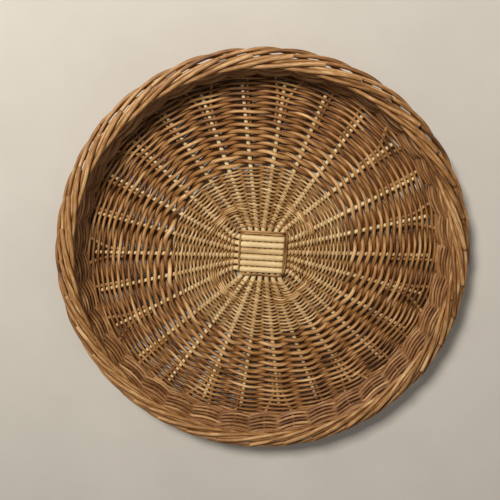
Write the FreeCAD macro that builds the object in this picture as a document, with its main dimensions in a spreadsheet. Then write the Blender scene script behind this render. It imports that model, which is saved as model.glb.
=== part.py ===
"""Round winnowing basket of willow rods: a woven base on crossed sticks, a waled wall and a rod border.

The basket stands on the row of upset wale under its edge, at z = 0, with its mouth up along +Z. The origin
is the middle of its foot. The six split sticks of the base lie along X and the seven whole sticks through
them along Y. Rods are drawn as straight runs joined by round bends. The weave is drawn as plain layers and
rings that lie where the woven rods lie, over, under and between the sticks and stakes.
"""
import FreeCAD, Part
import math
import os

import Sketcher
from FreeCAD import Placement, Rotation, Vector

THROUGH_STICKS = 7
ACROSS_STICKS = 6
STAKES = 37
SIDE_ROWS = 4
FAR_OFF = Vector(0, 0, 5000)
SAME_POINT = 1e-6
# How much further than the wall a stake's channel goes, so that it opens at the top of the wall.
CHANNEL_REACH = 1.2
# How deep a stick's round arm starts inside the end of its split middle.
ARM_OVERLAP = 1.0

# Millimetres and degrees.
DIMENSIONS = [
    ("clearance", 0.35, "gap between pieces that lie against each other"),
    ("base_height", 10.5, "height of the middle of the base sticks"),
    ("stick_radius", 3.2, "base stick in the slath"),
    ("stick_tip_radius", 2.5, "base stick at its tip"),
    ("stick_pitch", 8.6, "spacing of the split sticks in the slath"),
    ("through_pitch", 7.8, "spacing of the whole sticks that pass through them"),
    ("stick_reach", 225.0, "radius of the sticks' tips"),
    ("bar_thickness", 4.1, "half of a split stick, over or under the slath"),
    ("bar_width", 7.0, "width of a split stick's halves"),
    ("split_reach", 33.5, "end of a split stick's halves"),
    ("split_end_half", 2.5, "half height of a split stick at that end"),
    ("slit_reach", 31.5, "where the slit comes to its point"),
    ("bend_reach", 38.0, "where a split stick bends into its spoke"),
    ("through_reach", 31.0, "where a whole stick bends into its spoke"),
    ("stick_bend", 12.0, "bend radius of a base stick"),
    ("fan_turn", -4.0, "twist of the fanned spokes against the slath"),
    ("tie_radius", 41.5, "inner radius of the slath tie"),
    ("fine_radius", 48.5, "inner radius of the fine pairing"),
    ("coarse_radius", 117.3, "inner radius of the coarse pairing"),
    ("base_radius", 227.0, "outer radius of the coarse pairing"),
    ("fine_rod", 3.0, "thickness of the fine pairing over the sticks"),
    ("coarse_rod", 5.0, "thickness of the coarse pairing at its inner edge"),
    ("coarse_tip", 3.6, "thickness of the coarse pairing at its outer edge"),
    ("coarse_stick", 2.7, "base stick where the coarse pairing starts"),
    ("stake_radius", 2.8, "side stake"),
    ("stake_start", 178.0, "radius of a stake's pushed-in end"),
    ("stake_leave", 206.0, "radius where a stake leaves its stick"),
    ("stake_offset", 5.9, "sideways distance of a stake from its stick"),
    ("stake_part", 1.7, "least angle between a stake and its stick at the edge"),
    ("stake_turn", 2.0, "angle of the first stake"),
    ("edge_radius", 236.0, "radius where the stakes turn up"),
    ("wall_radius", 247.7, "radius of the stakes at the top of the wall"),
    ("wall_height", 50.0, "height at which the stakes bend over"),
    ("wale_half", 7.8, "half thickness of the wale across the wall"),
    ("wale_round", 2.4, "rounding of a wale row"),
    ("upset_height", 16.8, "height of the upset wale"),
    ("row_gap", 0.3, "gap between rows of wale"),
    ("row_pitch", 6.75, "spacing of the rows of side wale"),
    ("spread_bend", 30.0, "bend radius where a stake leaves its stick"),
    ("upright_bend", 8.0, "bend radius where a stake turns up, and where it bends over"),
    ("border_bend", 60.0, "bend radius along the border"),
    ("border_inner", 246.0, "radius of a border rod as it passes inside its neighbour"),
    ("border_inner_height", 57.5, "height there"),
    ("border_top", 254.5, "radius of a border rod as it crosses the top"),
    ("border_top_height", 60.0, "height there"),
    ("border_outer", 263.0, "radius of a border rod outside"),
    ("border_outer_height", 53.5, "height where it comes outside"),
    ("border_tuck", 265.0, "radius where it turns in under the border"),
    ("border_tuck_height", 45.5, "height there"),
]


def make_sheet(doc):
    """The driving dimensions, and their values by name."""
    sheet = doc.addObject("Spreadsheet::Sheet", "Dims")
    for row, (name, value, meaning) in enumerate(DIMENSIONS, start=1):
        sheet.set(f"A{row}", name)
        sheet.set(f"B{row}", str(value))
        sheet.set(f"C{row}", meaning)
        sheet.setAlias(f"B{row}", name)
    doc.recompute()
    return {name: float(sheet.get(name)) for name, _, _ in DIMENSIONS}


def bind(item, **expressions):
    """Binds properties of an object to expressions in which each driving dimension is Dims.NAME."""
    for name, expression in expressions.items():
        item.setExpression(name, expression)


def along(start, end):
    """The placement that lays something drawn along +Z from start towards end."""
    return Placement(start, Rotation(Vector(0, 0, 1), end - start))


def polar(radius, angle, height):
    turned = math.radians(angle)
    return Vector(radius * math.cos(turned), radius * math.sin(turned), height)


def taper(doc, name, start, end, start_radius, end_radius):
    """A straight tapering run between two points. The radii are expressions."""
    run = doc.addObject("Part::Cone", name)
    bind(run, Radius1=start_radius, Radius2=end_radius)
    run.Height = (end - start).Length
    run.Placement = along(start, end)
    return run


def rounded_corner(before, corner, after, bend):
    """The points where a bend of this radius starts, is half way and ends."""
    coming = (corner - before).normalize()
    going = (after - corner).normalize()
    half_turn = coming.getAngle(going) / 2
    reach = bend * math.tan(half_turn)
    bisector = (going - coming).normalize()
    middle = corner + bisector * bend * (1 / math.cos(half_turn) - 1)
    return corner - coming * reach, middle, corner + going * reach


def bent_path(points, bends):
    """Straight runs through these points, joined by tangent arcs with these radii."""
    edges = []
    at = points[0]
    for i, bend in enumerate(bends, start=1):
        start, middle, end = rounded_corner(points[i - 1], points[i], points[i + 1], bend)
        edges += straight(at, start)
        edges.append(Part.Arc(start, middle, end).toShape())
        at = end
    return Part.Wire(edges + straight(at, points[-1]))


def straight(start, end):
    """The line between two points as a list of one edge, or of none if the points are one."""
    if (end - start).Length < SAME_POINT:
        return []
    return [Part.LineSegment(start, end).toShape()]


def bent_rod(doc, name, points, bends, radius):
    """A round rod of one thickness along straight runs and tangent arcs. The radius is an expression."""
    path = doc.addObject("Part::Feature", f"{name}_path")
    path.Shape = bent_path(points, bends)
    section = doc.addObject("Part::Circle", f"{name}_section")
    bind(section, Radius=radius)
    section.Placement = along(points[0], points[1])
    rod = doc.addObject("Part::Sweep", name)
    rod.Sections = [section]
    rod.Spine = (path, [f"Edge{i + 1}" for i in range(len(path.Shape.Edges))])
    rod.Solid = True
    rod.Frenet = False
    rod.Label = name
    return rod


def fuse(doc, label, pieces):
    fused = doc.addObject("Part::MultiFuse", label)
    fused.Shapes = pieces
    fused.Label = label
    return fused


def origin_plane(body, role):
    return next(f for f in body.Origin.OriginFeatures if f.Role == role)


def add_outline(sketch, corners, prefix):
    """A closed outline of straight lines. Each corner is (across, up, two expressions that hold it in place)."""
    first = sketch.GeometryCount
    count = len(corners)
    points = [Vector(across, up, 0) for across, up, _, _ in corners]
    for i in range(count):
        sketch.addGeometry(Part.LineSegment(points[i], points[(i + 1) % count]))
    for i in range(count):
        following = first + (i + 1) % count
        sketch.addConstraint(Sketcher.Constraint("Coincident", first + i, 2, following, 1))
    for i, (across, up, across_expression, up_expression) in enumerate(corners):
        for kind, value, expression in (
            ("DistanceX", across, across_expression),
            ("DistanceY", up, up_expression),
        ):
            constraint = Sketcher.Constraint(kind, -1, 1, first + i, 1, value)
            index = sketch.addConstraint(constraint)
            name = f"{prefix}_{kind}_{i}"
            sketch.renameConstraint(index, name)
            sketch.setExpression(f"Constraints.{name}", expression)


def section_sketch(body, label):
    sketch = body.newObject("Sketcher::SketchObject", label)
    sketch.AttachmentSupport = (origin_plane(body, "XZ_Plane"), "")
    sketch.MapMode = "FlatFace"
    return sketch


def ring(doc, label, corners, rounding=None):
    """A ring about the Z axis whose section has these corners, as (radius, height) expressions."""
    body = doc.addObject("PartDesign::Body", label)
    sketch = section_sketch(body, f"{label}_section")
    values = [(evaluate(doc, r), evaluate(doc, z), r, z) for r, z in corners]
    add_outline(sketch, values, "corner")
    turn = body.newObject("PartDesign::Revolution", f"{label}_turn")
    turn.Profile = sketch
    turn.ReferenceAxis = (sketch, ["V_Axis"])
    turn.Angle = 360
    sketch.Visibility = False
    if rounding:
        doc.recompute()
        edges = [f"Edge{i + 1}" for i in range(len(turn.Shape.Edges)) if is_rim(turn.Shape.Edges[i])]
        rounded = body.newObject("PartDesign::Fillet", f"{label}_rounding")
        rounded.Base = (turn, edges)
        bind(rounded, Radius=rounding)
    body.Label = label
    return body


def is_rim(edge):
    return isinstance(edge.Curve, Part.Circle)


def evaluate(doc, expression):
    return float(doc.Dims.evalExpression(expression.replace("Dims.", "")))


def flat_layer(doc, label, inner, outer, gap_inner, gap_outer, thick_inner, thick_outer, side):
    """A layer of weave over (side 1) or under (side -1) the base sticks, as a flat or slightly tapered ring."""
    sign = "+" if side > 0 else "-"

    def height(gap, thick=None):
        depth = gap if thick is None else f"{gap} + {thick}"
        return f"Dims.base_height {sign} ({depth})"

    corners = [
        (inner, height(gap_inner)),
        (outer, height(gap_outer)),
        (outer, height(gap_outer, thick_outer)),
        (inner, height(gap_inner, thick_inner)),
    ]
    return ring(doc, label, corners)


class Spoke:
    """One arm of a base stick: from the bend beside the slath to the tip."""

    def __init__(self, bend, angle, size):
        self.bend = bend
        self.angle = angle
        self.size = size
        self.tip = polar(size["stick_reach"], angle, size["base_height"])
        self.away = (self.tip - bend).normalize()
        self.left = Vector(-self.away.y, self.away.x, 0)

    def at(self, radius, aside):
        """The point of the arm at this distance from the middle, moved sideways by aside."""
        reach = self.tip.Length - self.bend.Length
        share = (radius - self.bend.Length) / reach
        return self.bend + (self.tip - self.bend) * share + self.left * aside


def spoke_step():
    return 360.0 / (2 * (THROUGH_STICKS + ACROSS_STICKS))


def through_stick_arms(place, size):
    """The two spokes of the whole stick at this place, counted from the middle one."""
    aside = place * size["through_pitch"]
    fan = place * spoke_step()
    arms = []
    for side in (1, -1):
        bend = Vector(aside, side * size["through_reach"], size["base_height"])
        arms.append(Spoke(bend, side * (90 - fan) + size["fan_turn"], size))
    return arms


def across_stick_arms(place, size):
    """The two spokes of the split stick at this place, counted from the middle of the slath."""
    aside = place * size["stick_pitch"]
    fan = place * spoke_step()
    right = Vector(size["bend_reach"], aside, size["base_height"])
    left = Vector(-size["bend_reach"], aside, size["base_height"])
    return [
        Spoke(right, fan + size["fan_turn"], size),
        Spoke(left, 180 - fan + size["fan_turn"], size),
    ]


def arm(doc, label, spoke, start):
    """The tapering arm of a stick, from the end of its bend. start is where the run before the bend begins."""
    leave = rounded_corner(start, spoke.bend, spoke.tip, spoke.size["stick_bend"])[2]
    return taper(doc, label, leave, spoke.tip, "Dims.stick_radius", "Dims.stick_tip_radius")


def through_stick(doc, label, place, size):
    """A whole stick: it runs straight through the slath and bends into two spokes."""
    up, down = through_stick_arms(place, size)
    bend = size["stick_bend"]
    first = rounded_corner(down.bend, up.bend, up.tip, bend)[2]
    last = rounded_corner(up.bend, down.bend, down.tip, bend)[2]
    middle = bent_rod(
        doc, f"{label}_middle", [first, up.bend, down.bend, last], [bend, bend], "Dims.stick_radius"
    )
    arms = [arm(doc, f"{label}_arm_1", up, down.bend), arm(doc, f"{label}_arm_2", down, up.bend)]
    return fuse(doc, label, [middle] + arms), [up, down]


def split_middle(doc, label, aside, size):
    """The slit middle of a split stick: its halves bow over and under the whole sticks."""
    eye_end = f"Dims.through_pitch * {(THROUGH_STICKS - 1) / 2} + Dims.stick_radius + Dims.clearance"
    eye_top = "Dims.stick_radius + Dims.clearance"
    outer_top = f"{eye_top} + Dims.bar_thickness"
    body = doc.addObject("PartDesign::Body", label)
    half_outer = [("Dims.split_reach", "Dims.split_end_half"), (eye_end, outer_top)]
    half_eye = [("Dims.slit_reach", "0"), (eye_end, eye_top)]
    outer = quadrants(doc, half_outer)
    eye = quadrants(doc, half_eye)
    bar_sketch = section_sketch(body, f"{label}_bars")
    add_outline(bar_sketch, outer, "bar")
    bars = body.newObject("PartDesign::Pad", f"{label}_pad")
    bars.Profile = bar_sketch
    bars.Midplane = True
    bind(bars, Length="Dims.bar_width")
    doc.recompute()
    eye_sketch = section_sketch(body, f"{label}_eye")
    add_outline(eye_sketch, eye, "eye")
    slit = body.newObject("PartDesign::Pocket", f"{label}_slit")
    slit.Profile = eye_sketch
    slit.Midplane = True
    bind(slit, Length="Dims.bar_width * 2")
    body.Placement = Placement(Vector(0, aside, size["base_height"]), Rotation())
    return body


def quadrants(doc, corners):
    """An outline that is the same on both sides of both axes, from its corners in the first quarter."""
    found = []
    for across_sign, up_sign, order in ((1, 1, 1), (-1, 1, -1), (-1, -1, 1), (1, -1, -1)):
        for across, up in corners[::order]:
            across_expression = f"{across_sign} * ({across})"
            up_expression = f"{up_sign} * ({up})"
            values = evaluate(doc, across_expression), evaluate(doc, up_expression)
            if not found or math.dist(values, found[-1][:2]) > SAME_POINT:
                found.append((*values, across_expression, up_expression))
    if math.dist(found[0][:2], found[-1][:2]) < SAME_POINT:
        found.pop()
    return found


def across_stick(doc, label, place, size):
    """A split stick: slit in the middle, whole again beside the slath, where it bends into two spokes."""
    spokes = across_stick_arms(place, size)
    aside = place * size["stick_pitch"]
    pieces = [split_middle(doc, f"{label}_split", aside, size)]
    for i, spoke in enumerate(spokes, start=1):
        side = 1 if spoke.bend.x > 0 else -1
        start = Vector(side * (size["split_reach"] - ARM_OVERLAP), aside, size["base_height"])
        end = rounded_corner(start, spoke.bend, spoke.tip, size["stick_bend"])[2]
        points = [start, spoke.bend, end]
        pieces.append(bent_rod(doc, f"{label}_bend_{i}", points, [size["stick_bend"]], "Dims.stick_radius"))
        pieces.append(arm(doc, f"{label}_arm_{i}", spoke, start))
    return fuse(doc, label, pieces), spokes


def stake_points(index, spokes, size):
    """The bends of a stake: beside its stick, up at the edge, over inside its neighbour, across the top and out."""
    pitch = 360.0 / STAKES
    stood = size["stake_turn"] + index * pitch
    nearest = min(spokes, key=lambda spoke: abs(turn_between(spoke.angle, stood)))
    off = turn_between(nearest.angle, stood)
    side = 1 if off >= 0 else -1
    angle = nearest.angle + side * max(abs(off), size["stake_part"])
    aside = side * size["stake_offset"]
    points = [
        nearest.at(size["stake_start"], aside),
        nearest.at(size["stake_leave"], aside),
        polar(size["edge_radius"], angle, size["base_height"]),
        polar(size["wall_radius"], stood, size["wall_height"]),
        polar(size["border_inner"], stood - pitch, size["border_inner_height"]),
        polar(size["border_top"], stood - 2 * pitch, size["border_top_height"]),
        polar(size["border_outer"], stood - 3 * pitch, size["border_outer_height"]),
        polar(size["border_tuck"], stood - 4 * pitch, size["border_tuck_height"]),
    ]
    return points


def turn_between(start, end):
    """The signed angle from start to end, within half a turn."""
    return (end - start + 180) % 360 - 180


def stake_bends(size):
    spread, upright, border = size["spread_bend"], size["upright_bend"], size["border_bend"]
    return [spread, upright, upright, border, border, border]


def stake_channels(doc, stakes, size):
    """Room for every stake where it turns up and stands in the wall."""
    channels = []
    for i, points in enumerate(stakes, start=1):
        leave, edge, top = points[1:4]
        above = edge + (top - edge) * CHANNEL_REACH
        radius = "Dims.stake_radius + Dims.clearance"
        channels.append(
            bent_rod(doc, f"channel_{i}", [leave, edge, above], [size["upright_bend"]], radius)
        )
    room = doc.addObject("Part::Compound", "stake_room")
    room.Links = channels
    return room


def wale_row(doc, label, low, high, room):
    """One ring of wale at the wall, with a channel for every stake. low and high are expressions."""
    lean = "(Dims.wall_radius - Dims.edge_radius) / (Dims.wall_height - Dims.base_height)"
    middle = f"Dims.edge_radius + ((({low}) + ({high})) / 2 - Dims.base_height) * {lean}"
    inner = f"{middle} - Dims.wale_half"
    outer = f"{middle} + Dims.wale_half"
    solid = ring(
        doc,
        f"{label}_ring",
        [(inner, low), (outer, low), (outer, high), (inner, high)],
        rounding="Dims.wale_round",
    )
    cut = doc.addObject("Part::Cut", label)
    cut.Base = solid
    cut.Tool = room
    cut.Label = label
    return cut


def build(doc):
    """Every sub-part, by name."""
    size = make_sheet(doc)
    parts = {}
    spokes = []
    for i in range(THROUGH_STICKS):
        label = f"through_stick_{i + 1}"
        place = i - (THROUGH_STICKS - 1) / 2
        parts[label], arms = through_stick(doc, label, place, size)
        spokes += arms
    for i in range(ACROSS_STICKS):
        label = f"across_stick_{i + 1}"
        place = i - (ACROSS_STICKS - 1) / 2
        parts[label], arms = across_stick(doc, label, place, size)
        spokes += arms

    under_stick = "Dims.stick_radius + Dims.clearance"
    under_tip = "Dims.stake_radius + Dims.clearance"
    taper_start = "Dims.coarse_stick + Dims.clearance"
    for side, word in ((1, "top"), (-1, "under")):
        parts[f"fine_pairing_{word}"] = flat_layer(
            doc, f"fine_pairing_{word}", "Dims.fine_radius", "Dims.coarse_radius - Dims.row_gap",
            under_stick, under_stick, "Dims.fine_rod", "Dims.fine_rod", side,
        )
        parts[f"coarse_pairing_{word}"] = flat_layer(
            doc, f"coarse_pairing_{word}", "Dims.coarse_radius", "Dims.base_radius",
            taper_start, under_tip, "Dims.coarse_rod", "Dims.coarse_tip", side,
        )
    parts["slath_tie"] = slath_tie(doc, under_stick)

    stakes = [stake_points(i, spokes, size) for i in range(STAKES)]
    for i, points in enumerate(stakes):
        label = f"stake_{i + 1:02d}"
        parts[label] = bent_rod(doc, label, points, stake_bends(size), "Dims.stake_radius")
    room = stake_channels(doc, stakes, size)
    parts["upset_wale"] = wale_row(doc, "upset_wale", "0", "Dims.upset_height", room)
    for i in range(SIDE_ROWS):
        low = f"Dims.upset_height + {i} * Dims.row_pitch + Dims.row_gap"
        high = f"Dims.upset_height + {i + 1} * Dims.row_pitch"
        label = f"side_wale_{i + 1}"
        parts[label] = wale_row(doc, label, low, high, room)
    return parts


def slath_tie(doc, gap):
    """The rods that lash the slath, one ring over the sticks and one under them."""
    rings = []
    for side, word in ((1, "top"), (-1, "under")):
        rings.append(
            flat_layer(
                doc, f"tie_{word}", "Dims.tie_radius", "Dims.fine_radius - Dims.row_gap",
                gap, gap, "Dims.fine_rod", "Dims.fine_rod", side,
            )
        )
    tie = doc.addObject("Part::Compound", "slath_tie")
    tie.Links = rings
    tie.Label = "slath_tie"
    return tie


def check(doc, parts):
    """Raises if anything in the document failed or a sub-part has no sound shape."""
    for item in doc.Objects:
        if {"Invalid", "Error"} & set(item.State):
            raise RuntimeError(f"{item.Name} failed: {item.State}")
    for label, item in parts.items():
        shape = item.Shape
        if shape.isNull() or not shape.isValid():
            raise RuntimeError(f"{label} has no sound shape")
        expected = 2 if label == "slath_tie" else 1
        if len(shape.Solids) != expected:
            raise RuntimeError(f"{label} has {len(shape.Solids)} solids, not {expected}")
        if any(solid.isInside(FAR_OFF, 0.01, False) for solid in shape.Solids):
            raise RuntimeError(f"{label} is inside out")


def main():
    doc = FreeCAD.newDocument("winnowing_basket")
    parts = build(doc)
    doc.recompute()
    check(doc, parts)
    os.makedirs("parts", exist_ok=True)
    for label, item in parts.items():
        item.Shape.exportStep(f"parts/{label}.step")
        print(f"{label}: {item.Shape.Volume:.0f} mm3")


main()
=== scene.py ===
"""A round winnowing basket of willow: flat woven base, low waled wall and thick plain border.

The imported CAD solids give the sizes. Every one of them is replaced here by the rods that it stands for.
Lengths are in millimetres and angles in degrees, and a mesh is scaled to metres as it is made.
"""
import math

import bpy
import numpy as np
from mathutils import Matrix, Vector


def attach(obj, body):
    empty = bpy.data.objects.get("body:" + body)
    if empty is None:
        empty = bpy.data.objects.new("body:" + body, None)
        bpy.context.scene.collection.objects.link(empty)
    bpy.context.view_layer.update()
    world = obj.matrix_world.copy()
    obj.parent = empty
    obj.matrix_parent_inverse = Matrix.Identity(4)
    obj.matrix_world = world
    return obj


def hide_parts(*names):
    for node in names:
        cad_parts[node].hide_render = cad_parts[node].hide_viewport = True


METRES = 0.001

# What the basket has.
THROUGH_STICKS = 7
ACROSS_STICKS = 6
SPOKES = 2 * (THROUGH_STICKS + ACROSS_STICKS)
STAKES = 37
WALE_STRANDS = 3
SIDE_ROWS = 4

# The base: sticks that cross in the middle, bent out into a fan of spokes.
BASE_HEIGHT = 10.5
STICK_RADIUS = 3.2
STICK_TIP_RADIUS = 2.5
STICK_REACH = 225.0
# How far apart the sticks of each set lie, and how far from the middle they are bent.
ACROSS_PITCH = 8.6
THROUGH_PITCH = 7.8
ACROSS_BEND = 38.0
THROUGH_BEND = 31.0
# Where the arms of a stick start inside the slath.
ACROSS_START = 17.0
THROUGH_START = 15.0
# The slit of an across stick ends here, and each half of it shows as a bar this wide.
SPLIT_REACH = 31.0
BAR_WIDTH = 7.6
# The whole fan is turned a little against the slath.
FAN_TURN = -4.0

# The stakes and the wall. A stake lies beside a spoke from its start until it leaves for the edge.
STAKE_RADIUS = 2.8
STAKE_START = 178.0
STAKE_LEAVE = 206.0
STAKE_OFFSET = 5.5
# The least angle between a stake and its spoke at the edge, and the angle of the first stake.
STAKE_PART = 1.7
STAKE_TURN = 2.0
EDGE_RADIUS = 236.0
WALL_LEAN = 11.0 / 37.0
WALL_TOP = 46.5

SPOKE_STEP = 360.0 / SPOKES
STAKE_STEP = 360.0 / STAKES


# ---------------------------------------------------------------- small geometry helpers

def polar(radius, angle):
    """The plan point at this distance and angle in degrees."""
    turn = np.radians(angle)
    return np.stack([radius * np.cos(turn), radius * np.sin(turn)], axis=-1)


def turn_between(start, end):
    """The signed angle from start to end, within half a turn."""
    return (end - start + 180) % 360 - 180


def smooth_step(value, low, high):
    """0 below low, 1 above high and an even S between them."""
    share = np.clip((value - low) / (high - low), 0, 1)
    return share * share * (3 - 2 * share)


def flattened(wave, amount):
    """A wave with the same ends whose slopes are steeper and whose tops are flatter by this amount."""
    return wave * (1 + amount - amount * wave * wave)


def smooth_curve(points, places, wanted):
    """A smooth curve through points that stand at the given places, read at the wanted places."""
    points = np.asarray(points, float)
    places = np.asarray(places, float)
    slopes = np.gradient(points, places, axis=0)
    cell = np.clip(np.searchsorted(places, wanted, side="right") - 1, 0, len(places) - 2)
    span = (places[cell + 1] - places[cell])[:, None]
    share = (wanted[:, None] - places[cell][:, None]) / span
    start, end = points[cell], points[cell + 1]
    start_slope, end_slope = slopes[cell] * span, slopes[cell + 1] * span
    return (
        (2 * share**3 - 3 * share**2 + 1) * start
        + (share**3 - 2 * share**2 + share) * start_slope
        + (3 * share**2 - 2 * share**3) * end
        + (share**3 - share**2) * end_slope
    )


def lengths_along(points):
    """How far along the line each of its points is."""
    steps = np.linalg.norm(np.diff(points, axis=0), axis=1)
    return np.concatenate([[0], np.cumsum(steps)])


def wander(random, places, spacing, amount):
    """A slow random drift along a rod, with one turn about every spacing."""
    count = int((places[-1] - places[0]) / spacing) + 4
    knots = places[0] + spacing * (np.arange(count) - 1)
    values = random.normal(0, amount, (count, 1))
    return smooth_curve(values, knots, places)[:, 0]


def even_points(corners, step):
    """Points every step along straight runs between corners."""
    corners = np.asarray(corners, float)
    places = lengths_along(corners)
    count = max(int(places[-1] / step), 2)
    wanted = np.linspace(0, places[-1], count + 1)
    return np.stack([np.interp(wanted, places, corners[:, i]) for i in range(3)], axis=-1)


def soften(points, rounds):
    """Rounds the corners of an evenly stepped line, keeping its ends."""
    points = points.copy()
    for _ in range(rounds):
        points[1:-1] = 0.25 * points[:-2] + 0.5 * points[1:-1] + 0.25 * points[2:]
    return points


# ---------------------------------------------------------------- rods

ROUND = "round"
HALF = "half"
# The rounded edge of a cut end, as a share of the rod's radius.
CUT_EDGE = 0.22
# The grain of every rod is wound on a core of one radius, at its own place along an endless branch.
GRAIN_RADIUS = 2.5
GRAIN_LENGTH = 4000


class Rods:
    """Many rods in one mesh. Each vertex knows its place in its rod, for the grain."""

    def __init__(self, sides, seed):
        self.sides = sides
        self.random = np.random.default_rng(seed)
        self.vertices = []
        self.faces = []
        self.grain = []
        self.tone = []
        self.shade = []
        self.cut = []
        self.count = 0

    def add(self, points, radii, tone, exposed=None, section=ROUND, up=None):
        """One rod along points, each with its radius. exposed points to the side that shows, at each point.

        The side that shows keeps its colour, and painted shade darkens the other one.
        """
        points = np.asarray(points, float)
        radii = np.broadcast_to(np.asarray(radii, float), (len(points),)).copy()
        tangents = np.gradient(points, axis=0)
        tangents /= np.linalg.norm(tangents, axis=1)[:, None]
        first_up = np.array([0, 0, 1.0]) if up is None else np.asarray(up, float)
        ups = carried_normals(tangents, first_up)
        lefts = np.cross(ups, tangents)
        turn = np.arange(self.sides) * 2 * math.pi / self.sides
        outline = np.stack([np.cos(turn), np.sin(turn)], axis=-1)
        if section == HALF:
            outline = half_round(turn)
        # The rounded edge of each cut end is one more, narrower ring.
        points = np.concatenate([[points[0]], points, [points[-1]]])
        points[0] -= tangents[0] * radii[0] * CUT_EDGE
        points[-1] += tangents[-1] * radii[-1] * CUT_EDGE
        end_radii = radii[[0, -1]] * (1 - CUT_EDGE)
        radii = np.concatenate([end_radii[:1], radii, end_radii[1:]])
        lefts = np.concatenate([lefts[:1], lefts, lefts[-1:]])
        ups = np.concatenate([ups[:1], ups, ups[-1:]])
        rings = len(points)
        across = lefts[:, None, :] * outline[None, :, 0, None]
        across = across + ups[:, None, :] * outline[None, :, 1, None]
        grid = points[:, None, :] + across * radii[:, None, None]
        # The shade attribute is painted shade: 1 on the side that shows, towards 0 on the side opposite it,
        # and 0.5 all round where nothing is exposed.
        shade = np.ones((rings, self.sides))
        if exposed is not None:
            exposed = np.concatenate([exposed[:1], exposed, exposed[-1:]])
            shade = 0.5 + 0.5 * (across * exposed[:, None, :]).sum(axis=-1)
        places = lengths_along(points)
        start = self.random.uniform(0, GRAIN_LENGTH)
        spun = turn + self.random.uniform(0, 2 * math.pi)
        grain = np.empty((rings, self.sides, 3))
        grain[:, :, 0] = np.cos(spun)[None, :] * GRAIN_RADIUS
        grain[:, :, 1] = np.sin(spun)[None, :] * GRAIN_RADIUS
        grain[:, :, 2] = places[:, None] + start
        base = self.count
        ring = np.arange(rings - 1)[:, None] * self.sides
        side = np.arange(self.sides)[None, :]
        after = (side + 1) % self.sides
        quads = np.stack(
            [ring + side, ring + after, ring + self.sides + after, ring + self.sides + side], axis=-1
        )
        quads = quads.reshape(-1, 4) + base
        self.faces.extend(quads.tolist())
        last = base + (rings - 1) * self.sides
        self.faces.append(list(range(base + self.sides - 1, base - 1, -1)))
        self.faces.append(list(range(last, last + self.sides)))
        self.cut.extend([0] * len(quads) + [1, 1])
        self.vertices.append(grid.reshape(-1, 3))
        self.grain.append(grain.reshape(-1, 3))
        self.tone.append(np.full(rings * self.sides, tone))
        self.shade.append(shade.ravel())
        self.count += rings * self.sides

    def piece(self, name, material, slot, *nodes):
        """The finished mesh object, riding on the basket in place of its CAD nodes."""
        mesh = bpy.data.meshes.new(name)
        vertices = np.concatenate(self.vertices) * METRES
        mesh.from_pydata(vertices.tolist(), [], self.faces)
        smooth = np.array(self.cut) == 0
        mesh.polygons.foreach_set("use_smooth", smooth)
        set_attribute(mesh, "grain", "FLOAT_VECTOR", "POINT", np.concatenate(self.grain) * METRES)
        set_attribute(mesh, "tone", "FLOAT", "POINT", np.concatenate(self.tone))
        set_attribute(mesh, "shade", "FLOAT", "POINT", np.concatenate(self.shade))
        set_attribute(mesh, "cut", "FLOAT", "FACE", np.array(self.cut, float))
        mesh.materials.append(material)
        mesh.update()
        piece = bpy.data.objects.new(name, mesh)
        bpy.context.scene.collection.objects.link(piece)
        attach(piece, "root")
        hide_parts(*nodes)
        return piece


def set_attribute(mesh, name, kind, domain, values):
    """Stores one value or vector for each point or face of the mesh."""
    attribute = mesh.attributes.new(name, kind, domain)
    field = "vector" if kind == "FLOAT_VECTOR" else "value"
    attribute.data.foreach_set(field, values.astype(np.float32).ravel())


def carried_normals(tangents, first_up):
    """Upward directions across the rod, turned as little as possible from one point to the next."""
    ups = np.empty_like(tangents)
    up = first_up - tangents[0] * (first_up @ tangents[0])
    if np.linalg.norm(up) < 1e-3:
        up = np.array([1.0, 0, 0]) - tangents[0] * tangents[0][0]
    for i, tangent in enumerate(tangents):
        up = up - tangent * (up @ tangent)
        up /= math.sqrt(up @ up)
        ups[i] = up
    return ups


def half_round(turn):
    """The outline of a split rod: a round back and a flat inner face with soft corners."""
    corner_fullness = 0.8
    face_depth = 0.12
    across = np.cos(turn)
    across = np.sign(across) * np.abs(across) ** corner_fullness
    height = np.sin(turn)
    height = np.where(height > 0, height, height * face_depth)
    return np.stack([across, height], axis=-1)


def tones(random, count, middle, spread):
    """A shade of willow for each rod, between 0, dark, and 1, pale."""
    return np.clip(random.normal(middle, spread, count), 0, 1)


# ---------------------------------------------------------------- the spokes of the base

class Spoke:
    """One arm of a base stick in plan: beside the slath, round its bend, and out to its tip."""

    def __init__(self, start, bend, angle):
        self.angle = angle
        self.bend = np.asarray(bend, float)
        self.tip = polar(STICK_REACH, angle)
        corners = np.array([[*start, 0], [*self.bend, 0], [*self.tip, 0]])
        self.line = soften(even_points(corners, 2.0), 8)[:, :2]
        away = self.tip - self.bend
        away /= np.linalg.norm(away)
        self.away = away
        self.left = np.array([-away[1], away[0]])

    def at(self, radius, aside=0.0):
        """The plan point of the spoke at this distance from the middle, moved sideways by aside."""
        inner = np.linalg.norm(self.bend)
        share = (radius - inner) / (STICK_REACH - inner)
        return self.bend + (self.tip - self.bend) * share + self.left * aside

    def crossing(self, reach, squareness):
        """The place where a row of this reach passes the spoke. Rows beside the slath are nearly square."""
        size = (np.abs(self.line) ** squareness).sum(axis=1) ** (1 / squareness)
        if reach >= size[-1]:
            return self.line[-1] + self.away * (reach - size[-1])
        return np.array([np.interp(reach, size, self.line[:, i]) for i in range(2)])


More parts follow.
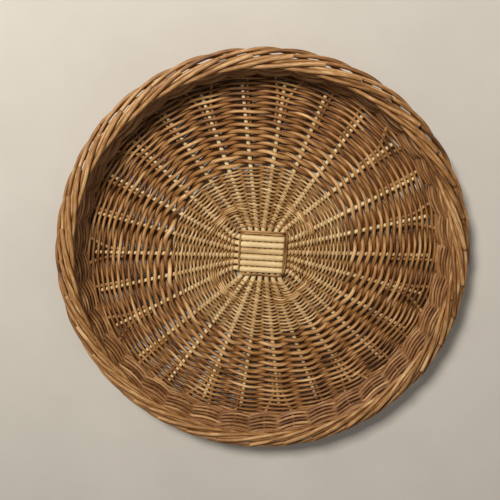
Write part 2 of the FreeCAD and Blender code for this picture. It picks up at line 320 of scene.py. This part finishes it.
def all_spokes():
    """Every spoke, counted anticlockwise from the lowest one on the right."""
    right, upper, left, lower = [], [], [], []
    half_across = (ACROSS_STICKS - 1) / 2
    half_through = (THROUGH_STICKS - 1) / 2
    for i in range(ACROSS_STICKS):
        place = i - half_across
        aside = place * ACROSS_PITCH
        fan = place * SPOKE_STEP
        right.append(Spoke((ACROSS_START, aside), (ACROSS_BEND, aside), fan + FAN_TURN))
        left.append(Spoke((-ACROSS_START, aside), (-ACROSS_BEND, aside), 180 - fan + FAN_TURN))
    for i in range(THROUGH_STICKS):
        place = i - half_through
        aside = place * THROUGH_PITCH
        fan = place * SPOKE_STEP
        upper.append(Spoke((aside, THROUGH_START), (aside, THROUGH_BEND), 90 - fan + FAN_TURN))
        lower.append(Spoke((aside, -THROUGH_START), (aside, -THROUGH_BEND), fan - 90 + FAN_TURN))
    return right + upper[::-1] + left[::-1] + lower


def stick_radius_at(distance):
    """A stick is thickest beside the slath and thins to its tip."""
    thickest_until = 30
    share = smooth_step(distance, thickest_until, STICK_REACH)
    return STICK_RADIUS + (STICK_TIP_RADIUS - STICK_RADIUS) * share


# ---------------------------------------------------------------- the sticks

def through_stick(random, name, spoke_up, spoke_down, material):
    """A whole stick, round and peeled, bent at both sides of the slath."""
    rods = Rods(14, random.integers(1 << 30))
    plan = np.concatenate([spoke_up.line[::-1], spoke_down.line])
    points = soften(even_points(np.c_[plan, np.full(len(plan), BASE_HEIGHT)], 3.0), 6)
    places = lengths_along(points)
    distance = np.linalg.norm(points[:, :2], axis=1)
    radii = stick_radius_at(distance) * (1 + wander(random, places, 30, 0.02))
    points[:, 2] += wander(random, places, 60, 0.15)
    rods.add(points, radii, tones(random, 1, 0.6, 0.12)[0])
    return rods.piece(name, material, "peeled_stick", name)


def across_stick(random, name, spoke_right, spoke_left, material):
    """A stick that is slit in the middle: two flat-backed halves bow over and under the whole sticks."""
    rods = Rods(14, random.integers(1 << 30))
    aside = spoke_right.bend[1]
    tone = tones(random, 1, 0.72, 0.1)[0]
    # The whole arms start a little inside the ends of the slit, and their tips are slightly thinner.
    arm_overlap = 3
    for spoke in (spoke_right, spoke_left):
        beyond = np.abs(spoke.line[:, 0]) > SPLIT_REACH - arm_overlap
        plan = spoke.line[beyond]
        points = even_points(np.c_[plan, np.full(len(plan), BASE_HEIGHT)], 3.0)
        distance = np.linalg.norm(points[:, :2], axis=1)
        rods.add(points, stick_radius_at(distance) * 0.97, tone)
    eye_end = (THROUGH_STICKS - 1) / 2 * THROUGH_PITCH + STICK_RADIUS
    shift = random.normal(0, 0.12, 2)[0]
    half_end = SPLIT_REACH + 0.5
    # How high the flat face of a half bows over the whole sticks, and how far apart the halves stay.
    bow_height = STICK_RADIUS + 0.35
    parting = 0.2
    for side in (1, -1):
        along = np.linspace(-half_end, half_end, 60)
        bow = smooth_step(-np.abs(along), -half_end, 1.0 - eye_end)
        places = along - along[0]
        height = BASE_HEIGHT + side * (bow_height * bow + parting)
        points = np.c_[along, aside + shift + wander(random, places, 25, 0.12), height]
        half_width = BAR_WIDTH / 2 * (0.96 + 0.04 * bow) + wander(random, places, 18, 0.06)
        rods.add(points, half_width, tone, section=HALF, up=(0, 0, side))
    return rods.piece(name, material, "peeled_stick", name)


def make_sticks(random, spokes, material):
    """Joins the arms that face each other into sticks."""
    right = spokes[:ACROSS_STICKS]
    upper = spokes[ACROSS_STICKS:ACROSS_STICKS + THROUGH_STICKS][::-1]
    left = spokes[ACROSS_STICKS + THROUGH_STICKS:2 * ACROSS_STICKS + THROUGH_STICKS][::-1]
    lower = spokes[2 * ACROSS_STICKS + THROUGH_STICKS:]
    for i in range(THROUGH_STICKS):
        through_stick(random, f"through_stick_{i + 1}", upper[i], lower[i], material)
    for i in range(ACROSS_STICKS):
        across_stick(random, f"across_stick_{i + 1}", right[i], left[i], material)


# ---------------------------------------------------------------- pairing: two rods twisted round the spokes

# Rows are nearly square up to the first of these reaches, and round from the second.
SQUARE_REACH = 36
ROUND_REACH = 78
SLATH_SQUARENESS = 5.5
CIRCLE_SQUARENESS = 2.0
# A spiral runs on by this many spokes before its start and past its end, for the rods' ends.
LEAD_IN = 2
LEAD_OUT = 6


class Weave:
    """A spiral of rows round the spokes. A place is counted in spokes from the start.

    first is the spoke at place 0.
    """

    def __init__(self, spokes, inner, outer, pitch, first=0):
        reaches = [inner - LEAD_IN * pitch(inner) / SPOKES]
        while reaches[-1] < outer:
            reaches.append(reaches[-1] + pitch(reaches[-1]) / SPOKES)
        self.places = len(reaches) - LEAD_IN
        reaches += [outer] * LEAD_OUT
        crossings = []
        for i, reach in enumerate(reaches, start=-LEAD_IN):
            roundness = float(smooth_step(np.array(reach), SQUARE_REACH, ROUND_REACH))
            squareness = SLATH_SQUARENESS + (CIRCLE_SQUARENESS - SLATH_SQUARENESS) * roundness
            crossings.append(spokes[(i + first) % SPOKES].crossing(reach, squareness))
        crossings = np.array(crossings)
        self.knots = np.arange(-LEAD_IN, len(reaches) - LEAD_IN)
        self.angles = np.unwrap(np.arctan2(crossings[:, 1], crossings[:, 0]))
        self.radii = np.linalg.norm(crossings, axis=1)

    def centre(self, places):
        """The plan points in the middle of the row at these places, and their distances."""
        values = smooth_curve(np.c_[self.radii, self.angles], self.knots, places)
        radius, angle = values[:, 0], values[:, 1]
        return np.stack([radius * np.cos(angle), radius * np.sin(angle)], axis=-1), radius


def pairing(random, name, weave, rod_radius, steps, lengths, tone_of, material, slot, nodes):
    """Two rods that take turns over and under each spoke. Each rod is followed by the next one."""
    rods = Rods(8, random.integers(1 << 30))
    first_start = -0.3
    last_end = 0.6
    run_on = 0.7
    overlap = 0.6
    for strand in (0, 1):
        start = first_start + strand
        while start < weave.places:
            run = random.integers(*lengths)
            end = min(start + run, weave.places + last_end + strand)
            places = np.arange(start, end + run_on, 1 / steps)
            add_pairing_rod(rods, random, weave, strand, places, rod_radius, tone_of)
            # The next rod is laid in beside the end of the old one.
            start = end - overlap
    return rods.piece(name, material, slot, *nodes)


def add_pairing_rod(rods, random, weave, strand, places, rod_radius, tone_of):
    """One rod, from its thick end to its thin end, over one spoke and under the next."""
    centre, radius = weave.centre(places)
    outward = centre / radius[:, None]
    turned = math.pi * (places - strand)
    thickness = rod_radius(radius) * np.linspace(1.07, 0.92, len(places))
    lift = stick_radius_at(radius) + thickness * 0.98
    # Over and under are a little flatter than a sine, because a rod lies on the stick that it crosses.
    wave = flattened(np.cos(turned), 0.12)
    along = lengths_along(np.c_[centre, np.zeros(len(centre))])
    height = BASE_HEIGHT + lift * wave + wander(random, along, 45, 0.12)
    # Between two spokes they lie side by side.
    aside = flattened(np.sin(turned), 0.25)
    drift = thickness * 0.9 * aside + wander(random, along, 30, 0.15)
    points = np.c_[centre + outward * drift[:, None], height]
    swell = 1 + wander(random, along, 22, 0.035)
    # Painted shade darkens the side of a rod that faces into the weave: its underside over a spoke, its top
    # under one, and all of it halfway between.
    exposed = np.c_[np.zeros((len(wave), 2)), wave]
    rods.add(points, thickness * swell, tone_of(random, radius.mean()), exposed=exposed)


def make_tie(random, spokes, material):
    """The first round of pairing holds each group of spokes together."""
    rod = 1.35
    steps = 90
    squareness = 14.0
    # The round starts close to the slath and steps out at its end, clear of its own start.
    first_reach = 2.9
    step_out = 2.7
    # The rods change sides steeply, at the corners of the slath.
    steepness = 5.5
    climb_height = 1.9
    rods = Rods(10, random.integers(1 << 30))
    half_wide = (THROUGH_STICKS - 1) / 2 * THROUGH_PITCH + STICK_RADIUS
    half_tall = (ACROSS_STICKS - 1) / 2 * ACROSS_PITCH + BAR_WIDTH / 2
    for strand in (0, 1):
        places = np.arange(-0.5 + strand, 4.5 + strand, 1 / steps)
        side_turn = np.radians(places * 90)
        reach = first_reach + step_out * smooth_step(places, 3.4, 3.8)
        cosine, sine = np.cos(side_turn), np.sin(side_turn)
        grow = (np.abs(cosine) ** squareness + np.abs(sine) ** squareness) ** (-1 / squareness)
        across = (half_wide + reach) * grow * cosine
        up = (half_tall + reach) * grow * sine
        wave = np.clip(np.cos(math.pi * (places - strand)) * steepness, -1, 1)
        # The rod climbs over the ends of the split bars at the two sides of the slath.
        climb = climb_height * np.abs(cosine) ** 0.5
        height = BASE_HEIGHT + wave * (STICK_RADIUS + rod + climb)
        points = soften(even_points(np.c_[across, up, height], 1.0), 6)
        rods.add(points, rod, tones(random, 1, 0.25 + 0.2 * strand, 0.05)[0])
    return rods.piece("slath_tie", material, "fine_willow", "slath_tie")


# The pitch of the rows, in radii of their rods: a row of pairing is nearly two rods wide.
ROW_ROOM = 3.6
FINE_RADIUS = 1.36
# The radius of the coarse rods at their thin tips, what they gain, and where they start, are full and end.
COARSE_TIP_RADIUS = 1.6
COARSE_GAIN = 1.3
COARSE_START = 115
COARSE_FULL = 127
COARSE_END = 238


def fine_rod(radius):
    """The fine rods are equally thick everywhere."""
    return np.full(np.shape(radius), FINE_RADIUS)


def coarse_rod(radius):
    """The coarse rods start with their thin tips, and get thinner again towards the edge."""
    grown = COARSE_TIP_RADIUS + COARSE_GAIN * smooth_step(radius, COARSE_START, COARSE_FULL)
    outer_share = np.clip((np.asarray(radius) - COARSE_FULL) / (COARSE_END - COARSE_FULL), 0, 1)
    return grown - COARSE_GAIN * outer_share


def fine_pitch(radius):
    """The distance from one row of fine pairing to the next."""
    return ROW_ROOM * float(fine_rod(radius))


def coarse_pitch(radius):
    """The distance from one row of coarse pairing to the next."""
    return ROW_ROOM * float(coarse_rod(radius))


def fine_tone(random, radius):
    """The fine rods are of one mixed lot."""
    return tones(random, 1, 0.54, 0.1)[0]


def coarse_tone(random, radius):
    """The coarse rods are darker towards the edge."""
    return tones(random, 1, 0.5 - 0.1 * smooth_step(np.array(radius), 117, 236), 0.1)[0]


# ---------------------------------------------------------------- the wall

def wall_point(height, angle, outward):
    """A point of the leaning wall, moved away from its middle by outward."""
    radius = EDGE_RADIUS + (height - BASE_HEIGHT) * WALL_LEAN + outward
    return np.c_[polar(radius, angle), height]


# A round of wale: points for each stake, rod heights before and after a stake, and the room for a stake.
WALE_STEPS = 12
WALE_TWIST = 1.6
WALE_ROOM = 2.2

# The heights of the rounds, and the radii of their rods.
UPSET_LOW = 9.2
UPSET_HIGH = 9.6
SIDE_LOW = 14.8
SIDE_RISE = 6.6
UPSET_ROD = 2.3
SECOND_UPSET_ROD = 2.2
SIDE_ROD = 2.1
TOP_TURNS = 1.6


def wale_round(random, name, low, high, rod, first, material, nodes, over=0.0, turns=1.0):
    """Three rods that each pass outside two stakes and inside one.

    They climb from low to high in the first turn. Inside a stake they are higher than outside by twice over.
    """
    rods = Rods(8, random.integers(1 << 30))
    half = WALE_ROOM + rod
    for strand in range(WALE_STRANDS):
        places = np.arange(-0.4, STAKES * turns + 1.4, 1 / WALE_STEPS) + strand
        stake = places + first
        angle = STAKE_TURN + stake * STAKE_STEP
        turned = 2 * math.pi * (places - strand) / WALE_STRANDS
        share = np.clip(places / STAKES, 0, 1)
        along = np.radians(angle - angle[0]) * EDGE_RADIUS
        height = low + (high - low) * share + over * np.cos(turned) - WALE_TWIST * np.sin(turned)
        height += wander(random, along, 40, 0.25)
        taper = np.linspace(1.1, 0.85, len(places))
        radii = rod * taper * (1 + wander(random, along, 22, 0.035))
        # A rod stays longer outside, past two stakes, than inside, past one.
        bulge = 0.25 - np.cos(turned) - 0.2 * np.cos(2 * turned)
        outward = half * bulge + wander(random, along, 40, 0.2)
        points = wall_point(height, angle, outward)
        # Painted shade darkens the side of a wale rod that faces into the wall, among the stakes.
        exposed = np.c_[polar(1.0, angle), np.zeros(len(angle))] * -np.cos(turned)[:, None]
        rods.add(points, radii, tones(random, 1, 0.48, 0.11)[0], exposed=exposed)
    return rods.piece(name, material, "wale_willow", *nodes)


def make_wall(random, material):
    """The upset and the rounds of side wale. One more round closes the wall under the border."""
    upset = ["upset_wale"]
    wale_round(random, "upset_wale", UPSET_LOW, UPSET_HIGH, UPSET_ROD, 0, material, upset, over=5.6)
    wale_round(
        random, "second_upset_wale", UPSET_HIGH, SIDE_LOW, SECOND_UPSET_ROD, 1, material, upset, over=2.0
    )
    names = [f"side_wale_{row + 1}" for row in range(SIDE_ROWS)]
    for row, name in enumerate(names + ["top_wale"]):
        low = SIDE_LOW + row * SIDE_RISE
        stands_for = [names[min(row, SIDE_ROWS - 1)]]
        turns = TOP_TURNS if name == "top_wale" else 1.0
        wale_round(random, name, low, low + SIDE_RISE, SIDE_ROD, row + 2, material, stands_for, turns=turns)


# ---------------------------------------------------------------- stakes and border

# The way of a bent-over stake through the border: how many stakes it has passed, then how far from the
# middle and how high it is there.
BORDER_WAY = [
    (0.0, 247.6, 50.0),
    (0.5, 247.4, 53.8),
    (1.0, 249.0, 56.6),
    (1.7, 253.4, 56.2),
    (2.4, 257.5, 54.2),
    (3.2, 262.5, 50.5),
    (3.7, 264.2, 47.8),
    (4.0, 263.4, 45.4),
    (4.3, 260.8, 44.4),
    (4.65, 257.2, 46.0),
    (5.1, 252.8, 48.6),
    (5.5, 248.9, 50.2),
    (5.8, 246.8, 51.4),
    (6.1, 243.8, 54.2),
    (6.5, 242.6, 57.2),
    (7.0, 244.0, 60.0),
    (7.5, 248.0, 60.8),
    (8.0, 253.0, 60.2),
    (8.4, 256.9, 58.8),
]

# How far from the middle, and how high, the core of the border's bundle of rods is.
BORDER_CORE = (254.0, 52.0)


def stake_to_wall_top(random, spokes, stood):
    """A stake from beside its spoke to the top of the wall, where it stands at this angle."""
    nearest = min(spokes, key=lambda spoke: abs(turn_between(spoke.angle, stood)))
    off = turn_between(nearest.angle, stood)
    side = 1 if off >= 0 else -1
    aside = side * STAKE_OFFSET
    edge_angle = nearest.angle + side * max(abs(off), STAKE_PART)
    start = STAKE_START + random.uniform(-8, 6)
    corners = [
        [*nearest.at(start, aside), BASE_HEIGHT],
        [*nearest.at(STAKE_LEAVE, aside), BASE_HEIGHT],
        [*polar(EDGE_RADIUS, edge_angle), BASE_HEIGHT],
        [*wall_point(np.array([WALL_TOP]), stood, 0)[0]],
    ]
    return soften(even_points(corners, 3.0), 5)


def stake_through_border(random, stood):
    """The rest of the stake, round the border to its cut end."""
    way = np.array(BORDER_WAY)
    passed = np.linspace(0, way[-1, 0] + random.uniform(-0.12, 0.12), 150)[1:]
    over = smooth_curve(way[:, 1:], way[:, 0], passed)
    return np.c_[polar(over[:, 0], stood - passed * STAKE_STEP), over[:, 1]]


def make_stakes(random, spokes, material):
    """Every stake and its part of the border. The side that faces away from the border's core shows, and
    painted shade darkens the side towards it.
    """
    for i in range(STAKES):
        stood = STAKE_TURN + i * STAKE_STEP
        lower = stake_to_wall_top(random, spokes, stood)
        upper = stake_through_border(random, stood)
        points = soften(even_points(np.concatenate([lower, upper]), 3.2), 6)
        places = lengths_along(points)
        outward = points[:, :2] / np.linalg.norm(points[:, :2], axis=1)[:, None]
        points[:, :2] += outward * wander(random, places, 55, 0.3)[:, None]
        points[:, 2] += wander(random, places, 55, 0.25)
        rods = Rods(12, random.integers(1 << 30))
        swell = 1 + wander(random, places, 26, 0.03)
        radii = STAKE_RADIUS * np.linspace(0.84, 0.94, len(points)) * swell
        distance = np.linalg.norm(points[:, :2], axis=1)
        # Painted shade darkens the sides of a stake that face the border's core, and the part below the
        # border a little all round.
        away = np.c_[outward * (distance - BORDER_CORE[0])[:, None], points[:, 2] - BORDER_CORE[1]]
        away /= np.linalg.norm(away, axis=1)[:, None]
        exposed = away * 0.9 * smooth_step(points[:, 2], 46, 52)[:, None] + [0, 0, 0.1]
        rods.add(points, radii, tones(random, 1, 0.5, 0.1)[0], exposed=exposed)
        name = f"stake_{i + 1:02d}"
        rods.piece(name, material, "stake_willow", name)


# ---------------------------------------------------------------- materials

def srgb(red, green, blue):
    """A colour from its everyday 0 to 255 values."""
    linear = []
    for value in (red, green, blue):
        linear.append(((value / 255 + 0.055) / 1.055) ** 2.4 if value > 10 else value / 3294.6)
    return (*linear, 1.0)


class Nodes:
    """Short names for building a material's nodes."""

    def __init__(self, name):
        self.material = bpy.data.materials.new(name)
        self.material.use_nodes = True
        self.tree = self.material.node_tree
        self.shader = self.tree.nodes["Principled BSDF"]

    def add(self, kind, **settings):
        node = self.tree.nodes.new(kind)
        for key, value in settings.items():
            setattr(node, key, value)
        return node

    def link(self, output, socket):
        self.tree.links.new(output, socket)

    def attribute(self, name):
        return self.add("ShaderNodeAttribute", attribute_name=name)

    def stretched(self, vector, scale):
        """The vector with its axes scaled."""
        mapping = self.add("ShaderNodeMapping")
        mapping.inputs["Scale"].default_value = scale
        self.link(vector, mapping.inputs["Vector"])
        return mapping.outputs["Vector"]

    def noise(self, vector, scale, detail=3.0, roughness=0.5):
        noise = self.add("ShaderNodeTexNoise")
        noise.inputs["Scale"].default_value = scale
        noise.inputs["Detail"].default_value = detail
        noise.inputs["Roughness"].default_value = roughness
        self.link(vector, noise.inputs["Vector"])
        return noise.outputs["Fac"]

    def ramp(self, value, stops):
        ramp = self.add("ShaderNodeValToRGB")
        elements = ramp.color_ramp.elements
        while len(elements) < len(stops):
            elements.new(0.5)
        for element, (position, colour) in zip(elements, stops):
            element.position = position
            element.color = colour
        self.link(value, ramp.inputs["Fac"])
        return ramp.outputs["Color"]

    def math(self, operation, first, second=0.0, clamp=False):
        node = self.add("ShaderNodeMath", operation=operation, use_clamp=clamp)
        for socket, value in zip(node.inputs, (first, second)):
            if isinstance(value, (int, float)):
                socket.default_value = value
            else:
                self.link(value, socket)
        return node.outputs["Value"]

    def spread(self, value, low, high, new_low, new_high):
        node = self.add("ShaderNodeMapRange")
        limits = {"From Min": low, "From Max": high, "To Min": new_low, "To Max": new_high}
        for name, number in limits.items():
            node.inputs[name].default_value = number
        self.link(value, node.inputs["Value"])
        return node.outputs["Result"]

    def mix(self, blend, factor, first, second):
        node = self.add("ShaderNodeMix", data_type="RGBA", blend_type=blend)
        colour_inputs = [socket for socket in node.inputs if socket.type == "RGBA"]
        for socket, value in zip([node.inputs[0], *colour_inputs], (factor, first, second)):
            if isinstance(value, (int, float, tuple)):
                socket.default_value = value
            else:
                self.link(value, socket)
        return next(socket for socket in node.outputs if socket.type == "RGBA")


# Noise comes out mostly between these two values.
NOISE_LOW = 0.3
NOISE_HIGH = 0.7
SCAR_COLOUR = (0.22, 0.15, 0.1, 1.0)
# The colour that is multiplied into the willow where painted shade darkens it.
PAINTED_SHADE_COLOUR = (0.4, 0.27, 0.12, 1.0)


def willow(name, dark, middle, pale, painted_shade_amount, streak=0.35, patch=0.3):
    """Willow with a tone for each rod, streaks along the grain, patches and leaf scars.

    It has painted shade on the sides that face into the weave, in the given amount, and pale cut ends.
    """
    nodes = Nodes(name)
    grain = nodes.attribute("grain").outputs["Vector"]
    tone = nodes.attribute("tone").outputs["Fac"]
    shade = nodes.attribute("shade").outputs["Fac"]
    cut = nodes.attribute("cut").outputs["Fac"]
    streaks = nodes.noise(nodes.stretched(grain, (1.0, 1.0, 0.045)), 1500, 4.0, 0.62)
    patches = nodes.noise(nodes.stretched(grain, (1.0, 1.0, 0.35)), 60, 3.0, 0.55)
    fibres = nodes.noise(nodes.stretched(grain, (1.0, 1.0, 0.03)), 4200, 2.0, 0.5)

    value = nodes.math("ADD", tone, nodes.spread(patches, NOISE_LOW, NOISE_HIGH, -patch, patch))
    streaked = nodes.spread(streaks, NOISE_LOW, NOISE_HIGH, -streak, streak)
    value = nodes.math("ADD", value, streaked, clamp=True)
    colour = nodes.ramp(value, [(0.0, dark), (0.5, middle), (1.0, pale)])

    # Leaf scars: sparse small dark marks.
    scars = nodes.add("ShaderNodeTexVoronoi")
    scars.inputs["Scale"].default_value = 42.0
    nodes.link(grain, scars.inputs["Vector"])
    near = nodes.spread(scars.outputs["Distance"], 0.045, 0.085, 1.0, 0.0)
    colour = nodes.mix("MULTIPLY", near, colour, SCAR_COLOUR)

    # Painted shade where a rod dives under another, and on the sides of the rods that face into the weave.
    painted_shade = nodes.math("MULTIPLY", nodes.spread(shade, 0.1, 0.85, 1.0, 0.0), painted_shade_amount)
    speckle = nodes.spread(patches, NOISE_LOW, NOISE_HIGH, 0.6, 1.2)
    painted_shade = nodes.math("MULTIPLY", painted_shade, speckle, clamp=True)
    colour = nodes.mix("MULTIPLY", painted_shade, colour, PAINTED_SHADE_COLOUR)

    # Cut ends show the pale wood with a darker pith.
    ends = nodes.ramp(patches, [(NOISE_LOW, srgb(206, 170, 118)), (NOISE_HIGH, srgb(168, 122, 72))])
    colour = nodes.mix("MIX", cut, colour, ends)
    nodes.link(colour, nodes.shader.inputs["Base Color"])

    rough = nodes.spread(streaks, NOISE_LOW, NOISE_HIGH, 0.44, 0.62)
    nodes.link(rough, nodes.shader.inputs["Roughness"])
    nodes.shader.inputs["Specular IOR Level"].default_value = 0.5
    bump = nodes.add("ShaderNodeBump")
    bump.inputs["Strength"].default_value = 0.5
    bump.inputs["Distance"].default_value = 0.0004
    relief = nodes.math("ADD", nodes.math("MULTIPLY", streaks, 0.7), nodes.math("MULTIPLY", fibres, 0.3))
    relief = nodes.math("SUBTRACT", relief, nodes.math("MULTIPLY", near, 0.6))
    nodes.link(relief, bump.inputs["Height"])
    nodes.link(bump.outputs["Normal"], nodes.shader.inputs["Normal"])
    return nodes.material


def floor_material():
    """A plain pale floor, very slightly mottled."""
    nodes = Nodes("pale_floor")
    place = nodes.add("ShaderNodeNewGeometry").outputs["Position"]
    mottle = nodes.noise(place, 6.0, 4.0, 0.6)
    colour = nodes.ramp(mottle, [(NOISE_LOW, srgb(206, 199, 188)), (NOISE_HIGH, srgb(214, 207, 196))])
    nodes.link(colour, nodes.shader.inputs["Base Color"])
    nodes.shader.inputs["Roughness"].default_value = 0.85
    return nodes.material


# ---------------------------------------------------------------- floor, light and camera

# The direction on the floor that the camera has at its top, and how far the camera leans from overhead.
VIEW_UP = 93.3
CAMERA_TILT = 15.6
CAMERA_DISTANCE = 920.0
CAMERA_LENS = 51.6
# The camera aims beside the middle of the rim.
AIM_HEIGHT = 52.0
AIM_RIGHT = -15.0
AIM_UP = 15.6

# Lamps and floor are in metres and watts.
FLOOR_SIZE = 8.0
LAMP_HEIGHT = 1.6
KEY_COLOUR = (1.0, 0.97, 0.92)
SOFT_COLOUR = (1.0, 0.98, 0.95)
STUDIO_STRENGTH = 0.14


def make_floor():
    bpy.ops.mesh.primitive_plane_add(size=FLOOR_SIZE, location=(0, 0, 0))
    floor = bpy.context.object
    floor.name = "floor"
    floor.data.materials.append(floor_material())


def view_axes():
    """The directions of the camera's right and up, laid on the floor."""
    up = Vector((*polar(1.0, VIEW_UP), 0))
    right = Vector((*polar(1.0, VIEW_UP - 90), 0))
    return right, up


def make_camera():
    """The camera, nearly overhead."""
    right, up = view_axes()
    tilt = math.radians(CAMERA_TILT)
    middle = Vector((0, 0, AIM_HEIGHT))
    towards = up * math.sin(tilt) + Vector((0, 0, math.cos(tilt)))
    place = (middle + towards * CAMERA_DISTANCE) * METRES
    target = (middle + right * AIM_RIGHT + up * AIM_UP) * METRES
    back = (place - target).normalized()
    side = up.cross(back).normalized()
    above = back.cross(side)
    camera = bpy.data.objects.new("camera", bpy.data.cameras.new("camera"))
    camera.data.lens = CAMERA_LENS
    turn = Matrix((side, above, back)).transposed()
    camera.matrix_world = Matrix.Translation(place) @ turn.to_4x4()
    bpy.context.scene.collection.objects.link(camera)
    bpy.context.scene.camera = camera


def area_light(name, right_part, up_part, size, power, colour):
    """A square lamp over the basket, placed by the camera's right and up, that faces the basket."""
    right, up = view_axes()
    light = bpy.data.lights.new(name, "AREA")
    light.shape = "SQUARE"
    light.size = size
    light.energy = power
    light.color = colour
    lamp = bpy.data.objects.new(name, light)
    place = right * right_part + up * up_part + Vector((0, 0, LAMP_HEIGHT))
    lamp.location = place
    lamp.rotation_euler = place.to_track_quat("Z", "Y").to_euler()
    bpy.context.scene.collection.objects.link(lamp)


def make_lights():
    """A key lamp, a weak wide one opposite, and a dim even studio."""
    area_light("key", right_part=-0.5, up_part=1.0, size=0.4, power=35, colour=KEY_COLOUR)
    area_light("fill", right_part=1.1, up_part=-0.9, size=1.6, power=3.5, colour=SOFT_COLOUR)
    world = bpy.data.worlds.new("studio")
    world.use_nodes = True
    background = world.node_tree.nodes["Background"]
    background.inputs["Color"].default_value = (*SOFT_COLOUR, 1.0)
    background.inputs["Strength"].default_value = STUDIO_STRENGTH
    bpy.context.scene.world = world
    bpy.context.scene.view_settings.view_transform = "Standard"


# ---------------------------------------------------------------- all together

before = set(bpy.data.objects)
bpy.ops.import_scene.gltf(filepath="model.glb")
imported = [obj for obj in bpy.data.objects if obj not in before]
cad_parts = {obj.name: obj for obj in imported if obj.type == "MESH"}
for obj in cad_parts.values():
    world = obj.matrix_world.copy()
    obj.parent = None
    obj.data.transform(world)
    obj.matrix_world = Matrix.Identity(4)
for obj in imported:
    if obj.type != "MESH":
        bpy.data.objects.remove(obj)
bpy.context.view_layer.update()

random = np.random.default_rng(20)
spokes = all_spokes()

# Each willow has its dark, middle and pale colour.
peeled = willow(
    "peeled_stick", srgb(150, 108, 62), srgb(215, 180, 124), srgb(246, 222, 170), 0.2, streak=0.2, patch=0.18
)
fine = willow("fine_willow", srgb(90, 50, 8), srgb(184, 136, 76), srgb(250, 216, 160), 1.0)
coarse = willow("coarse_willow", srgb(80, 40, 5), srgb(176, 122, 62), srgb(250, 208, 150), 1.0)
wale = willow("wale_willow", srgb(70, 34, 6), srgb(150, 100, 52), srgb(224, 178, 124), 1.0)
stake = willow("stake_willow", srgb(84, 44, 8), srgb(172, 120, 64), srgb(244, 204, 148), 1.0)

make_sticks(random, spokes, peeled)
make_tie(random, spokes, fine)
fine_weave = Weave(spokes, 36.0, 117.0, fine_pitch)
pairing(
    random, "fine_pairing", fine_weave, fine_rod, 8, (20, 34), fine_tone, fine, "fine_willow",
    ["fine_pairing_top", "fine_pairing_under"],
)
coarse_weave = Weave(spokes, 118.5, 237.0, coarse_pitch, fine_weave.places)
pairing(
    random, "coarse_pairing", coarse_weave, coarse_rod, 12, (22, 36), coarse_tone, coarse, "coarse_willow",
    ["coarse_pairing_top", "coarse_pairing_under"],
)
make_wall(random, wale)
make_stakes(random, spokes, stake)

make_floor()
make_lights()
make_camera()
